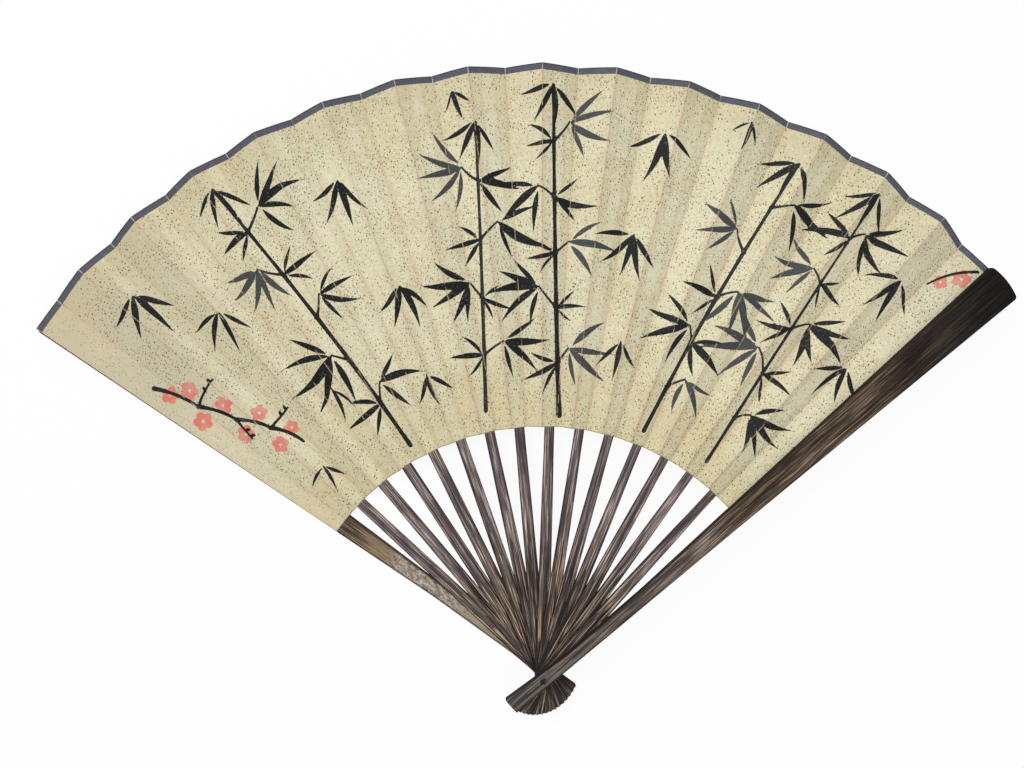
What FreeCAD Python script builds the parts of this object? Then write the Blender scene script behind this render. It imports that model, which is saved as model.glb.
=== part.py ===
"""A folding hand fan, open and lying on its back: two guards, a row of ribs, one rivet and a
pleated paper leaf with a bound edge.

Frame: the rivet's axis is Z, with the origin where it meets the back face of the rear guard,
which the fan lies on. The middle of the open fan points along +Y, and its painted side faces +Z.

The sticks are stacked on the rivet like a spiral stair: the rear guard lowest, at the left end of
the open fan, then the ribs one layer up each, then the front guard at the right end. Each stick
keeps its layer, so the fan folds with nothing in the way. The leaf is pleated along radial lines
into plane panels: a rib panel is pasted round each rib and stands tilted about it, high on its
left and low on its right, and a fold panel climbs from there to the next rib panel's high edge.
"""
import FreeCAD, Part
import math
import os

import Sketcher
from FreeCAD import Vector

doc = FreeCAD.newDocument("hand_fan")

# ---------------------------------------------------------------------------------------
# Driving sizes: millimetres and degrees
# ---------------------------------------------------------------------------------------
SIZES = {
    # the fan as a whole
    "rib_count": 14,            # ribs between the two guards
    "opening": 102.0,           # angle from the rear guard's axis to the front guard's
    "leaf_inner": 124.0,        # radius of the leaf's lower edge, about the rivet
    "leaf_outer": 297.0,        # radius of the leaf's top edge
    # the pleated leaf
    "pleat_tilt": 23.3,         # tilt of an open rib panel about its rib
    "paper_thickness": 0.2,     # the two plies of the leaf, pasted together
    "paper_gap": 0.05,          # air on each side of a folded panel
    "crease_gap": 0.01,         # angle left open on each side of a crease
    "open_crease": 0.07,        # and by a fold panel at its high crease, which no hinge holds
    "guard_pleat": 1.42,        # angle from a guard's axis to the crease beside it
    "guard_cover": 1.85,        # angle from a guard's axis to the leaf's cut end
    "sleeve_width": 6.4,        # the strip of leaf raised by the rib inside it
    "rib_top": 5.0,             # from the rib's hidden end to the leaf's top edge
    "binding_width": 3.1,       # edge tape, seen from the front
    "binding_thickness": 0.05,
    "binding_inset": 0.06,      # angle by which the tape stops short of a crease
    # ribs
    "rib_thickness": 0.8,
    "rib_gap": 0.1,             # air between two ribs
    "rib_end_gap": 0.2,         # between the bare stick and the leaf
    "rib_leaf_width": 5.5,
    "rib_neck_width": 5.9,
    "rib_neck_at": 60.0,
    # fan head: guards and ribs share it
    "tail_length": 20.1,
    "tail_left": 5.1,
    "tail_right": 3.6,
    "tail_round": 1.2,
    "head_left": 3.45,
    "head_right": 3.8,
    # guards
    "guard_thickness": 3.6,
    "guard_gap": 0.05,
    "guard_length": 298.2,      # from the rivet to the tip
    "waist_start": 15.0,
    "waist_end": 66.0,
    "waist_left": 2.15,
    "waist_bend": 220.0,        # radius of the guard's waist curves
    "guard_leaf_right": 5.95,
    "guard_tip_left": 10.25,
    "guard_tip_right": 10.05,
    "tip_round": 1.6,
    "guard_edge": 0.7,          # rounding of the guards' outer faces
    # rivet
    "rivet_radius": 1.1,
    "rivet_clearance": 0.05,
    "rivet_head_radius": 1.55,
    "rivet_head_height": 0.55,
    "rivet_sink": 0.6,          # depth of the rear guard's countersink
}

dims = doc.addObject("Spreadsheet::Sheet", "dims")
for row, (alias, value) in enumerate(SIZES.items(), start=1):
    dims.set(f"A{row}", str(value))
    dims.setAlias(f"A{row}", alias)
doc.recompute()

# ---------------------------------------------------------------------------------------
# Sizes that follow from them
# ---------------------------------------------------------------------------------------
derived = doc.addObject("App::VarSet", "derived")


def derive(name, expression):
    """Add one number that follows from the sheet; write it as derived.name elsewhere."""
    derived.addProperty("App::PropertyFloat", name)
    derived.setExpression(name, expression)
    doc.recompute()


# layers on the rivet
derive("layer", "dims.rib_thickness + dims.rib_gap")
derive("first_rib", "dims.guard_thickness + dims.guard_gap + dims.rib_thickness / 2")
derive("last_rib", "derived.first_rib + (dims.rib_count - 1) * derived.layer")
derive("front_guard", "derived.last_rib + dims.rib_thickness / 2 + dims.guard_gap")
derive("front_face", "derived.front_guard + dims.guard_thickness")
# a folded pleat is one sleeve and one fold panel in each layer
derive("sleeve", "derived.layer - dims.paper_thickness - 2 * dims.paper_gap")
derive("end_top", "derived.first_rib - derived.sleeve / 2 - dims.paper_thickness"
       " - 2 * dims.paper_gap")
derive("seat_depth", "dims.guard_thickness - derived.end_top + dims.paper_thickness"
       " + dims.binding_thickness")
derive("front_end", "derived.front_guard + derived.seat_depth - dims.paper_thickness"
       " - dims.binding_thickness")
# pleat: two panels of one chord, from rib axis to rib axis, one layer up
derive("step", "dims.opening / (dims.rib_count + 1)")
derive("middle", "(dims.leaf_inner + dims.leaf_outer) / 2")
derive("span", "2 * derived.middle * sin(derived.step / 2 * 1deg)")
derive("chord", "(derived.span ^ 2 + derived.layer ^ 2) / 2 / (derived.span"
       " * cos(dims.pleat_tilt * 1deg) - derived.layer * sin(dims.pleat_tilt * 1deg))")
derive("half_sector", "asin(derived.chord / 2 / derived.middle) / 1deg")
# rise of a fold panel above the plane of the rib panel that it is hinged to
derive("fold_rise", "dims.pleat_tilt + asin((derived.chord * sin(dims.pleat_tilt * 1deg)"
       " + derived.layer) / derived.chord) / 1deg")
derive("end_rise", "asin((derived.chord / 2 * sin(dims.pleat_tilt * 1deg) + derived.first_rib"
       " - derived.end_top - dims.paper_thickness / 2) / derived.chord) / 1deg")


def size(expression):
    """The number that an expression gives now."""
    value = dims.evalExpression(expression)
    return float(getattr(value, "Value", value))


# ---------------------------------------------------------------------------------------
# Building blocks
# ---------------------------------------------------------------------------------------
def new_body(label):
    body = doc.addObject("PartDesign::Body", label)
    body.Label = label
    return body


def new_sketch(body, name, lift="0"):
    """A sketch parallel to the body's XY plane, lifted by an expression."""
    sketch = body.newObject("Sketcher::SketchObject", name)
    plane = next(f for f in body.Origin.OriginFeatures if f.Role == "XY_Plane")
    sketch.AttachmentSupport = [(plane, "")]
    sketch.MapMode = "FlatFace"
    sketch.setExpression("AttachmentOffset.Base.z", lift)
    return sketch


def pin_point(sketch, geo, pos, x, y):
    """Tie one point of a sketch to a place given by two expressions."""
    for kind, expression in (("DistanceX", x), ("DistanceY", y)):
        index = sketch.addConstraint(
            Sketcher.Constraint(kind, -1, 1, geo, pos, size(expression)))
        sketch.setExpression(f"Constraints[{index}]", expression)


def draw_outline(sketch, corners):
    """A closed outline through corners (x, y, radius), counter-clockwise.

    Each entry is an expression, and a corner with a radius is rounded by a tangent arc.
    """
    place = [Vector(size(x), size(y), 0) for x, y, _ in corners]
    count = len(corners)
    leave, enter, arcs = [], [], {}
    for i, (_, _, radius) in enumerate(corners):
        before = (place[i] - place[i - 1]).normalize()
        after = (place[(i + 1) % count] - place[i]).normalize()
        turn = math.atan2(before.cross(after).z, before.dot(after))
        reach = size(radius) * math.tan(abs(turn) / 2) if radius else 0.0
        enter.append(place[i] - before * reach)
        leave.append(place[i] + after * reach)
        if radius:
            side = Vector(-before.y, before.x, 0) * math.copysign(size(radius), turn)
            arcs[i] = (enter[i] + side, turn)
    lines = [sketch.addGeometry(Part.LineSegment(leave[i], enter[(i + 1) % count]))
             for i in range(count)]
    for i, (x, y, radius) in enumerate(corners):
        coming, going = lines[i - 1], lines[i]
        if not radius:
            sketch.addConstraint(Sketcher.Constraint("Coincident", coming, 2, going, 1))
            pin_point(sketch, going, 1, x, y)
            continue
        centre, turn = arcs[i]
        ends = [math.atan2((p - centre).y, (p - centre).x) for p in (enter[i], leave[i])]
        if turn < 0:
            ends.reverse()
        circle = Part.Circle(centre, Vector(0, 0, 1), size(radius))
        arc = sketch.addGeometry(Part.ArcOfCircle(circle, *ends))
        first, second = (1, 2) if turn > 0 else (2, 1)
        corner = sketch.addGeometry(Part.Point(place[i]), True)
        pin_point(sketch, corner, 1, x, y)
        for line in (coming, going):
            sketch.addConstraint(Sketcher.Constraint("PointOnObject", corner, 1, line))
        sketch.addConstraint(Sketcher.Constraint("Tangent", coming, 2, arc, first))
        sketch.addConstraint(Sketcher.Constraint("Tangent", arc, second, going, 1))
        index = sketch.addConstraint(Sketcher.Constraint("Radius", arc, size(radius)))
        sketch.setExpression(f"Constraints[{index}]", radius)


def draw_circle(sketch, radius):
    circle = sketch.addGeometry(Part.Circle(Vector(), Vector(0, 0, 1), size(radius)))
    sketch.addConstraint(Sketcher.Constraint("Coincident", circle, 3, -1, 1))
    index = sketch.addConstraint(Sketcher.Constraint("Radius", circle, size(radius)))
    sketch.setExpression(f"Constraints[{index}]", radius)


def new_pad(body, sketch, length, middle=False):
    pad = body.newObject("PartDesign::Pad", sketch.Name + "_pad")
    pad.Profile = sketch
    pad.setExpression("Length", length)
    if middle:
        pad.Midplane = True
    return pad


def new_pocket(body, sketch, depth):
    """Cut a sketch's outline downwards, by an expression."""
    pocket = body.newObject("PartDesign::Pocket", sketch.Name + "_pocket")
    pocket.Profile = sketch
    pocket.setExpression("Length", depth)
    return pocket


def place_at(feature, expression):
    feature.setExpression("Placement", expression)


# ---------------------------------------------------------------------------------------
# Guards
# ---------------------------------------------------------------------------------------
GUARD_OUTLINE = [
    ("-dims.tail_length", "-dims.tail_right", "dims.tail_round"),
    ("0", "-dims.head_right", "2 * dims.waist_bend"),
    ("dims.leaf_inner", "-dims.guard_leaf_right", "4 * dims.waist_bend"),
    ("dims.guard_length", "-dims.guard_tip_right", "dims.tip_round"),
    ("dims.guard_length", "dims.guard_tip_left", "dims.tip_round"),
    ("dims.waist_end", "dims.waist_left", "dims.waist_bend"),
    ("dims.waist_start", "dims.waist_left", "dims.waist_bend"),
    ("-dims.tail_length", "dims.tail_left", "dims.tail_round"),
]


def make_guard(label, seat_top, face, sink=None):
    """One guard. seat_top is the height, in the guard, of the top of the leaf's seat, and face
    that of its outer face, whose edge is rounded."""
    body = new_body(label)
    blank = new_sketch(body, label + "_outline")
    draw_outline(blank, GUARD_OUTLINE)
    pad = new_pad(body, blank, "dims.guard_thickness")
    # inner face set back where the end of the leaf is pasted on
    seat = new_sketch(body, label + "_seat", seat_top)
    start, end = "dims.leaf_inner - dims.rib_end_gap", "dims.guard_length + 1"
    left, right = "dims.guard_tip_left + 1", "-dims.guard_tip_right - 1"
    draw_outline(seat, [(start, right, None), (end, right, None),
                        (end, left, None), (start, left, None)])
    new_pocket(body, seat, "derived.seat_depth")
    bore = new_sketch(body, label + "_bore", "dims.guard_thickness")
    draw_circle(bore, "dims.rivet_radius + dims.rivet_clearance")
    last = new_pocket(body, bore, "dims.guard_thickness")
    if sink:
        well = new_sketch(body, label + "_sink", sink)
        draw_circle(well, "dims.rivet_head_radius + 2 * dims.rivet_clearance")
        last = new_pocket(body, well, sink)
    doc.recompute()
    # round the outer face's edge, all the way round the outline
    level, bore_reach = size(face), size("2 * dims.rivet_head_radius")
    rim = []
    for number, edge in enumerate(last.Shape.Edges, start=1):
        box = edge.BoundBox
        if abs(box.ZMin - level) < 1e-4 and abs(box.ZMax - level) < 1e-4:
            far = max(abs(box.XMin), abs(box.XMax), abs(box.YMin), abs(box.YMax))
            if far > bore_reach:
                rim.append(f"Edge{number}")
    rounding = body.newObject("PartDesign::Fillet", label + "_rounding")
    rounding.Base = (last, rim)
    rounding.setExpression("Radius", "dims.guard_edge")
    return body


rear_guard = make_guard("rear_guard", "dims.guard_thickness", "0", "dims.rivet_sink")
place_at(rear_guard, "placement(vector(0; 0; 0); rotation(90 + dims.opening / 2; 0; 0))")
front_guard = make_guard("front_guard", "derived.seat_depth", "dims.guard_thickness")
place_at(front_guard, "placement(vector(0; 0; derived.front_guard);"
         " rotation(90 - dims.opening / 2; 0; 0))")
nodes = [rear_guard, front_guard]

# ---------------------------------------------------------------------------------------
# Rivet: a shaft with a sunk flat head at the back and a small dome at the front
# ---------------------------------------------------------------------------------------
rivet = new_body("pivot_pin")
shaft = rivet.newObject("Sketcher::SketchObject", "pivot_pin_profile")
upright = next(f for f in rivet.Origin.OriginFeatures if f.Role == "XZ_Plane")
shaft.AttachmentSupport = [(upright, "")]
shaft.MapMode = "FlatFace"
base, sunk = "dims.rivet_clearance", "dims.rivet_sink - dims.rivet_clearance"
crown = "derived.front_face + dims.rivet_clearance"
top = crown + " + dims.rivet_head_height"
draw_outline(shaft, [
    ("0", base, None), ("dims.rivet_head_radius", base, None),
    ("dims.rivet_head_radius", sunk, None), ("dims.rivet_radius", sunk, None),
    ("dims.rivet_radius", crown, None), ("dims.rivet_head_radius", crown, None),
    ("dims.rivet_head_radius * 0.8", crown + " + dims.rivet_head_height * 0.6", None),
    ("dims.rivet_head_radius * 0.4", crown + " + dims.rivet_head_height * 0.92", None),
    ("0", top, None)])
turned = rivet.newObject("PartDesign::Revolution", "pivot_pin_turned")
turned.Profile = shaft
turned.ReferenceAxis = (shaft, ["V_Axis"])
turned.Angle = 360
nodes.append(rivet)

# ---------------------------------------------------------------------------------------
# Ribs: bare sticks from the fan head to the leaf, where each one enters its sleeve
# ---------------------------------------------------------------------------------------
STICK_END = "dims.leaf_inner - dims.rib_end_gap"
RIB_OUTLINE = [
    ("-dims.tail_length", "-dims.tail_right", "dims.tail_round"),
    ("0", "-dims.head_right", "dims.waist_bend"),
    ("dims.rib_neck_at", "-dims.rib_neck_width / 2", "dims.waist_bend"),
    (STICK_END, "-dims.rib_leaf_width / 2", None),
    (STICK_END, "dims.rib_leaf_width / 2", None),
    ("dims.rib_neck_at", "dims.rib_neck_width / 2", "dims.waist_bend"),
    ("0", "dims.head_left", "dims.waist_bend / 2"),
    ("-dims.tail_length", "dims.tail_left", "dims.tail_round"),
]


def stick_angle(number):
    """Azimuth of a stick's axis, counted from the rear guard's (0)."""
    return f"(90 + dims.opening / 2 - {number} * derived.step)"


def stick_height(number):
    """Height of the middle of a rib."""
    return f"(derived.first_rib + {number - 1} * derived.layer)"


def make_rib(number):
    label = f"rib_{number:02d}"
    body = new_body(label)
    blank = new_sketch(body, label + "_outline")
    draw_outline(blank, RIB_OUTLINE)
    new_pad(body, blank, "dims.rib_thickness", middle=True)
    bore = new_sketch(body, label + "_bore", "dims.rib_thickness")
    draw_circle(bore, "dims.rivet_radius + dims.rivet_clearance")
    new_pocket(body, bore, "2 * dims.rib_thickness")
    place_at(body, f"placement(vector(0; 0; {stick_height(number)});"
             f" rotation({stick_angle(number)}; 0; 0))")
    return body


rib_count = int(size("dims.rib_count"))
for number in range(1, rib_count + 1):
    nodes.append(make_rib(number))


# ---------------------------------------------------------------------------------------
# Leaf panels: flat ring sectors about the rivet, each with its stretch of edge binding
# ---------------------------------------------------------------------------------------
def ring_sector(name, inner, outer, start, sweep, bottom, height):
    """A ring sector from the angle start, counter-clockwise through sweep."""
    discs = []
    for part, radius in (("outer", outer), ("inner", inner)):
        disc = doc.addObject("Part::Cylinder", f"{name}_{part}")
        disc.setExpression("Radius", radius)
        disc.setExpression("Height", height)
        disc.setExpression("Angle", sweep)
        place_at(disc, f"placement(vector(0; 0; {bottom}); rotation({start}; 0; 0))")
        discs.append(disc)
    ring = doc.addObject("Part::Cut", name)
    ring.Base, ring.Tool = discs
    return ring


def make_panel(label, start, sweep, bottom, sleeve=False):
    """One leaf panel: paper, raised over the rib where it has one, and its binding."""
    paper = ring_sector(f"{label}_sheet", "dims.leaf_inner",
                        "dims.leaf_outer - dims.binding_thickness",
                        f"({start} + dims.crease_gap)", f"({sweep} - 2 * dims.crease_gap)",
                        bottom, "dims.paper_thickness")
    if sleeve:
        raised = doc.addObject("Part::Box", f"{label}_raised")
        raised.setExpression("Length", "dims.leaf_outer - dims.leaf_inner - dims.rib_top")
        raised.setExpression("Width", "dims.sleeve_width")
        raised.setExpression("Height", "derived.sleeve")
        place_at(raised, "placement(vector(dims.leaf_inner; -dims.sleeve_width / 2;"
                 " -derived.sleeve / 2); rotation(0; 0; 0))")
        whole = doc.addObject("Part::Fuse", f"{label}_paper")
        whole.Base, whole.Tool = paper, raised
        paper = whole
    tape = ring_sector(f"{label}_tape", "dims.leaf_outer - dims.binding_width",
                       "dims.leaf_outer",
                       f"({start} + dims.binding_inset)", f"({sweep} - 2 * dims.binding_inset)",
                       f"({bottom} - dims.binding_thickness)",
                       "(dims.paper_thickness + 2 * dims.binding_thickness)")
    binding = doc.addObject("Part::Cut", f"{label}_binding")
    binding.Base, binding.Tool = tape, paper
    panel = doc.addObject("Part::Compound", label)
    panel.Label = label
    panel.Links = [paper, binding]
    return panel


def tilted(number):
    """Placement of rib panel number's own frame: X along its rib, Z out of its painted face."""
    return (f"placement(vector(0; 0; {stick_height(number)});"
            f" rotation({stick_angle(number)}; 0; dims.pleat_tilt))")


HALF, SECTOR, SHEET = "derived.half_sector", "2 * derived.half_sector", "dims.paper_thickness"

rear_end = make_panel("rear_end_panel", "-dims.guard_pleat",
                      "(dims.guard_pleat + dims.guard_cover)", f"derived.end_top - {SHEET}")
place_at(rear_end, f"placement(vector(0; 0; 0); rotation({stick_angle(0)}; 0; 0))")
front_end = make_panel("front_end_panel", "-dims.guard_cover",
                       "(dims.guard_pleat + dims.guard_cover)", "derived.front_end")
place_at(front_end, "placement(vector(0; 0; 0); rotation(90 - dims.opening / 2; 0; 0))")
nodes += [rear_end, front_end]

for number in range(1, rib_count + 1):
    panel = make_panel(f"rib_panel_{number:02d}", f"-{HALF}", SECTOR, f"-{SHEET} / 2",
                       sleeve=True)
    place_at(panel, tilted(number))
    nodes.append(panel)

for number in range(1, rib_count + 2):
    # hinged along the low edge of the panel before it, with its painted face on the crease
    panel = make_panel(f"fold_panel_{number:02d}", f"(dims.open_crease - {SECTOR})",
                       f"({SECTOR} - dims.open_crease)", f"-{SHEET}")
    if number == 1:
        crease = (f"placement(vector(0; 0; derived.end_top);"
                  f" rotation({stick_angle(0)} - dims.guard_pleat; 0; -derived.end_rise))")
    else:
        rise = "derived.fold_rise" if number <= rib_count else "(dims.pleat_tilt"\
            " + derived.end_rise)"
        crease = (f"{tilted(number - 1)} * placement(vector(0; 0; {SHEET} / 2);"
                  f" rotation(-{HALF}; 0; 0))"
                  f" * placement(vector(0; 0; 0); rotation(0; 0; -{rise}))")
    place_at(panel, crease)
    nodes.append(panel)

# ---------------------------------------------------------------------------------------
# Check and write
# ---------------------------------------------------------------------------------------
doc.recompute()
for item in doc.Objects:
    assert not {"Invalid", "Error"} & set(item.State), f"{item.Label}: {item.State}"
for node in nodes:
    assert not node.Shape.isNull() and node.Shape.isValid(), f"{node.Label}: bad shape"
os.makedirs("parts", exist_ok=True)
for node in nodes:
    node.Shape.exportStep(f"parts/{node.Label}.step")
    print(f"{node.Label:16} {len(node.Shape.Solids)} solid(s) {node.Shape.Volume:10.2f} mm3")
print(f"half sector {size('derived.half_sector'):.4f}, chord {size('derived.chord'):.3f},"
      f" fold rise {size('derived.fold_rise'):.3f}, end rise {size('derived.end_rise'):.3f},"
      f" sleeve {size('derived.sleeve'):.3f}, seat {size('derived.seat_depth'):.3f}")
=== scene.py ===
# %% [markdown]
# # A pleated hand fan, dressed for rendering
#
# The fan has sixteen bamboo sticks on one rivet: two thick guards and fourteen thin ribs.
# A leaf of flecked paper is pleated over them, bound along its top edge with slate paper,
# and brushed with ink. The solid model gives every place and every joint. Here each piece
# gets the finer surface and the finish that a maker would give it.
#
# The model is loaded first, because all that follows is placed from it.

# %% load the solid model
import bpy
import numpy as np
from mathutils import Euler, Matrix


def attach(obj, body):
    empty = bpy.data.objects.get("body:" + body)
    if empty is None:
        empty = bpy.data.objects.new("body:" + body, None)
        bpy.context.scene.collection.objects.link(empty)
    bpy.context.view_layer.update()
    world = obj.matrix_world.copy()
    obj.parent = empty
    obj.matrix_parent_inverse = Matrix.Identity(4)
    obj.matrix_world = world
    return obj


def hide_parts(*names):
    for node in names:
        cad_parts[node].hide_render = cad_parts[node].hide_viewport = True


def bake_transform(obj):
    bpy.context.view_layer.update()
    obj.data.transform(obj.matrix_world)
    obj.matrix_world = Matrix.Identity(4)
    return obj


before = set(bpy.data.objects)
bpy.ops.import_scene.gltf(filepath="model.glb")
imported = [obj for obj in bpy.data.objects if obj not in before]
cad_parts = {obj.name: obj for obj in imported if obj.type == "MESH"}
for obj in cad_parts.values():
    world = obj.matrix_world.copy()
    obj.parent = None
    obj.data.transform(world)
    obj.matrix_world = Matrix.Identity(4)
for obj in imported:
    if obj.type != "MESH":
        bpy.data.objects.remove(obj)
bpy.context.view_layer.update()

# %% [markdown]
# ## The sizes the fan was made to
#
# The sticks turn on a vertical axis through the origin. The rear guard lies on the table,
# and each rib above it is one layer higher. The leaf is a row of 31 flat panels that meet
# in creases. These are the solid model's places and angles, in millimetres and degrees, so
# that both are the same fan. Only the paper is thinner here, the tails are crisper and
# the rear guard ends a little earlier.

# %% sizes
RIBS = 14
OPENING = 102.0
LEAF_INNER, LEAF_OUTER = 124.0, 297.0
PLEAT_TILT = 23.3
PAPER = 0.14
GUARD_THICKNESS, GUARD_LENGTH, REAR_LENGTH = 3.6, 298.2, LEAF_OUTER - 0.3
RIB_THICKNESS, RIB_END, LAYER, FIRST_RIB = 0.8, 132.0, 0.9, 4.05
FRONT_GUARD = 16.2
TAIL = 20.1
TAIL_ROUND, RIB_ROUND, TIP_ROUND = 0.35, 1.0, 1.6
HALF_SECTOR = 1.8818
REAR_END, FRONT_END = 3.35, 16.45
GUARD_PLEAT, GUARD_COVER = 1.42, 1.85
MM = 0.001


def azimuth(stick):
    """Direction of a stick's axis in the plan: the rear guard is 0 and the front guard 15."""
    return 90 + OPENING / 2 - stick * OPENING / (RIBS + 1)


def height(rib):
    """Height of the middle of a rib, in mm: one layer more for each rib."""
    return FIRST_RIB + (rib - 1) * LAYER


def turn_z(degrees):
    """Matrix of a turn about the vertical axis."""
    a = np.radians(degrees)
    return np.array([[np.cos(a), -np.sin(a), 0], [np.sin(a), np.cos(a), 0], [0, 0, 1]])


def turn_x(degrees):
    """Matrix of a turn about a stick's own long axis."""
    a = np.radians(degrees)
    return np.array([[1, 0, 0], [0, np.cos(a), -np.sin(a)], [0, np.sin(a), np.cos(a)]])


def placed(name, data):
    """A new object of the scene that shows the given data."""
    item = bpy.data.objects.new(name, data)
    bpy.context.scene.collection.objects.link(item)
    return item


print("rib 1 points to", azimuth(1), "degrees, rib 14 to", azimuth(14),
      "and lies", round(height(14), 2), "mm up")

# %% [markdown]
# ## The camera
#
# The fan lies on its back and is seen from above, from just below its middle and a little
# from the left, and near enough for the raised front guard to look larger. A camera has a
# place, a turn and a focal length. The lens is a moderate wide one, with no shift.

# %% camera
camera_data = bpy.data.cameras.new("camera")
camera_data.lens, camera_data.sensor_width = 31.75, 36.0
camera_data.clip_start = 0.01
camera = placed("camera", camera_data)
camera.location = (-0.0330, 0.1783, 0.4475)
camera.rotation_euler = Euler(np.radians((-4.204, -3.107, -1.799)), "XYZ")
bpy.context.scene.camera = camera
bpy.context.scene.view_settings.view_transform = "Standard"
print("camera", round(camera_data.lens, 2), "mm at", tuple(camera.location))

# %% [markdown]
# ## Writing finishes with nodes
#
# A finish is a small graph of nodes. Short helpers keep the graphs readable. An output of a
# node knows the tree it belongs to, so each step is put in the tree of what it works on.
# Colours are written as red, green and blue.

# %% node helpers
def fill(item, values):
    """Fill inputs of a node. values maps an input, by name or number, to a value, or to an
    output of another node, which is linked."""
    for label, value in values.items():
        if isinstance(value, bpy.types.NodeSocket):
            item.id_data.links.new(value, item.inputs[label])
        else:
            item.inputs[label].default_value = value


def put(tree, kind, values=None, **settings):
    """Add a node. settings are its own properties, and values fill its inputs."""
    item = tree.nodes.new(kind)
    for label, value in settings.items():
        setattr(item, label, value)
    fill(item, values or {})
    return item


def new_finish(name):
    """An empty material with a Principled BSDF wired to its output."""
    finish = bpy.data.materials.new(name)
    finish.use_nodes = True
    return finish, finish.node_tree, finish.node_tree.nodes["Principled BSDF"]


def maths(kind, a, b):
    """One arithmetic step on two values, of which at least one is an output."""
    tree = (a if isinstance(a, bpy.types.NodeSocket) else b).id_data
    return put(tree, "ShaderNodeMath", {0: a, 1: b}, operation=kind).outputs[0]


def plus(a, b):
    """a + b."""
    return maths("ADD", a, b)


def minus(a, b):
    """a - b."""
    return maths("SUBTRACT", a, b)


def times(a, b):
    """a * b, which for two masks is where both hold."""
    return maths("MULTIPLY", a, b)


def ramp(value, low, high, start=0.0, end=1.0):
    """value taken from the range low..high to start..end, smoothly, and clamped there."""
    return put(value.id_data, "ShaderNodeMapRange",
               {"Value": value, "From Min": low, "From Max": high, "To Min": start,
                "To Max": end}, interpolation_type="SMOOTHSTEP").outputs["Result"]


def rgba(colour):
    """An output as it is, or a plain colour with its opacity of 1."""
    return colour if isinstance(colour, bpy.types.NodeSocket) else (*colour, 1.0)


def colour_mix(share, under, over):
    """Colour over laid on colour under, in the share given by a mask."""
    return put(share.id_data, "ShaderNodeMix", {0: share, 6: rgba(under), 7: rgba(over)},
               data_type="RGBA").outputs[2]


def layers(colour, *rows):
    """Colours laid on in turn. Each row holds a mask and the colour laid on through it."""
    for mask, over in rows:
        colour = colour_mix(mask, colour, over)
    return colour


def noise(place, scale, detail, rough=0.5):
    """Soft noise between 0 and 1, read at place. detail adds finer noise to it."""
    return put(place.id_data, "ShaderNodeTexNoise",
               {"Vector": place, "Scale": scale, "Detail": detail,
                "Roughness": rough}).outputs["Fac"]


def stretched(place, scale):
    """A place whose three numbers are each multiplied by a scale of their own."""
    return put(place.id_data, "ShaderNodeMapping", {"Vector": place, "Scale": scale}).outputs[0]


def chart_of_piece(tree):
    """Where a point lies on the piece's own flat chart, in metres."""
    return put(tree, "ShaderNodeUVMap", uv_map="chart").outputs["UV"]


def stored(tree, label):
    """A value that is stored on the points of the piece."""
    return put(tree, "ShaderNodeAttribute", attribute_name=label).outputs["Fac"]


def bump(relief, strength, distance):
    """A normal tilted by the slope of a relief."""
    return put(relief.id_data, "ShaderNodeBump", {"Height": relief, "Strength": strength,
                                                  "Distance": distance}).outputs["Normal"]


print("node helpers ready")

# %% [markdown]
# ## Table, lamps and air
#
# Paper shows its pleats only if one side of each pleat gets more light than the other. One
# large soft lamp stands to the upper left, a weaker one to the right keeps the shaded sides
# open, and an even sky fills the rest. The table is pale. The camera sees it nearly white,
# as on a light table, and the fan's soft shadow stays on it.

# %% lamps
def lamp(name, place, aim, size, watts):
    """A square area lamp at place, turned to shine on aim."""
    data = bpy.data.lights.new(name, "AREA")
    data.shape, data.size, data.energy = "SQUARE", size, watts
    item = placed(name, data)
    item.location = place
    towards = np.array(aim, float) - np.array(place, float)
    flat = np.hypot(towards[0], towards[1])
    item.rotation_euler = (np.arctan2(flat, -towards[2]), 0.0,
                           np.arctan2(towards[1], towards[0]) - np.pi / 2)
    return item


key = lamp("key_lamp", (-1.05, 1.30, 1.75), (0.0, 0.15, 0.0), 1.1, 40.5)
side = lamp("side_lamp", (1.3, -0.2, 1.5), (0.0, 0.15, 0.0), 1.2, 9.0)
print("lamps", key.data.energy, "W and", side.data.energy, "W")

# %% sky
SKY_STRENGTH = 0.46
world = bpy.data.worlds.new("sky")
bpy.context.scene.world = world
world.use_nodes = True
sky = world.node_tree
sky.nodes.clear()
shown = put(sky, "ShaderNodeBackground", {"Color": (1.0, 1.0, 1.0, 1.0), "Strength": 1.0})
lit = put(sky, "ShaderNodeBackground", {"Color": (0.97, 0.98, 1.0, 1.0),
                                        "Strength": SKY_STRENGTH})
eye = put(sky, "ShaderNodeLightPath").outputs["Is Camera Ray"]
pick = put(sky, "ShaderNodeMixShader", {0: eye, 1: lit.outputs[0], 2: shown.outputs[0]})
put(sky, "ShaderNodeOutputWorld", {"Surface": pick.outputs[0]})
print("sky strength", SKY_STRENGTH)

# %% table
TABLE_CORNERS, TABLE_RADIUS, TABLE_MIDDLE, TABLE_DROP = 64, 1.6, 0.13, 5e-5
round_table = np.linspace(0, 2 * np.pi, TABLE_CORNERS + 1)[:-1]
table_points = np.stack([TABLE_RADIUS * np.cos(round_table),
                         TABLE_MIDDLE + TABLE_RADIUS * np.sin(round_table),
                         0 * round_table - TABLE_DROP], 1)
table_mesh = bpy.data.meshes.new("table")
table_mesh.from_pydata(table_points.tolist(), [], [tuple(range(TABLE_CORNERS))])
table = placed("table", table_mesh)
white, tree, matte = new_finish("table_white")
fill(matte, {"Base Color": (0.80, 0.80, 0.80, 1.0), "Roughness": 0.9,
             "Specular IOR Level": 0.1})
glow = put(tree, "ShaderNodeEmission", {"Color": (1.0, 1.0, 1.0, 1.0)})
seen = times(put(tree, "ShaderNodeLightPath").outputs["Is Camera Ray"], 0.93)
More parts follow.
